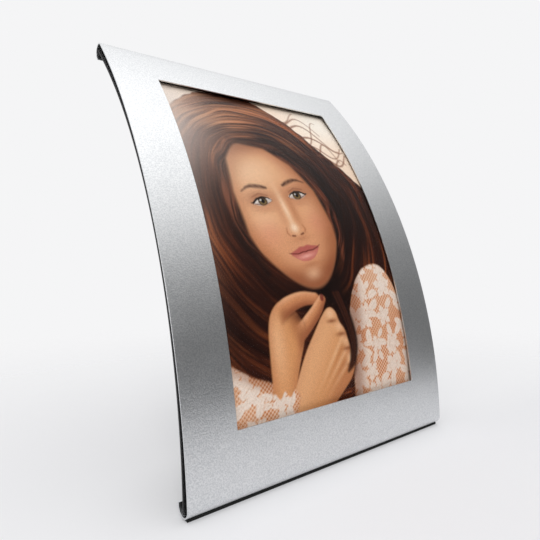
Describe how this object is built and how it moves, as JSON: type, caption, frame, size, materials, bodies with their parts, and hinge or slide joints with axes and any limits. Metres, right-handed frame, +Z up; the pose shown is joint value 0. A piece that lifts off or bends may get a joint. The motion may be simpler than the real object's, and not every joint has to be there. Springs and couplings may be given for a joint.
{
  "type": "photo frame",
  "caption": "Bowed satin-metal desk photo frame: a windowed sheet with rolled edges over a sprung print insert, held up by a folding rear leg.",
  "frame": {"origin": "on the table, under the middle of the frame's bounding box", "axes": "+X to the viewer's right, +Y away from the viewer, +Z up; the picture faces -Y"},
  "size_m": [0.134, 0.0838, 0.1722],
  "materials": {
    "satin_aluminium": "bead-blasted and clear anodised, satin",
    "clear_sheet": "clear bent sheet with a fine anti-glare texture",
    "photo_paper": "lustre photo print on coated paper",
    "black_panel": "fine-grained black sheet",
    "plated_steel": "zinc-plated pressed steel",
    "bright_rivet": "bright headed steel",
    "black_coated_steel": "black powder-coated sheet steel",
    "black_rubber": "moulded soft rubber"
  },
  "bodies": {
    "frame": {"front_frame": "satin_aluminium", "grip_strip": "black_rubber"},
    "cover": {"clear_cover": "clear_sheet"},
    "print": {"photo_print": "photo_paper"},
    "insert": {"backing_panel": "black_panel", "hinge_bracket": "plated_steel", "bracket_rivets": "bright_rivet", "hinge_pin": "bright_rivet"},
    "leg": {"stand_leg": "black_coated_steel", "leg_foot": "black_rubber"}
  },
  "joints": [
    {"name": "cover_slide", "type": "slide", "parent": "frame", "child": "cover", "axis": [1, 0, 0], "range_m": [-0.136, 0.136]},
    {"name": "print_slide", "type": "slide", "parent": "frame", "child": "print", "axis": [1, 0, 0], "range_m": [-0.136, 0.136]},
    {"name": "insert_slide", "type": "slide", "parent": "frame", "child": "insert", "axis": [1, 0, 0], "range_m": [-0.136, 0.136]},
    {"name": "leg_fold", "type": "hinge", "parent": "insert", "child": "leg", "pos_m": [0, 0.00595, 0.12109], "axis": [-1, 0, 0], "range_deg": [0, 30]}
  ]
}
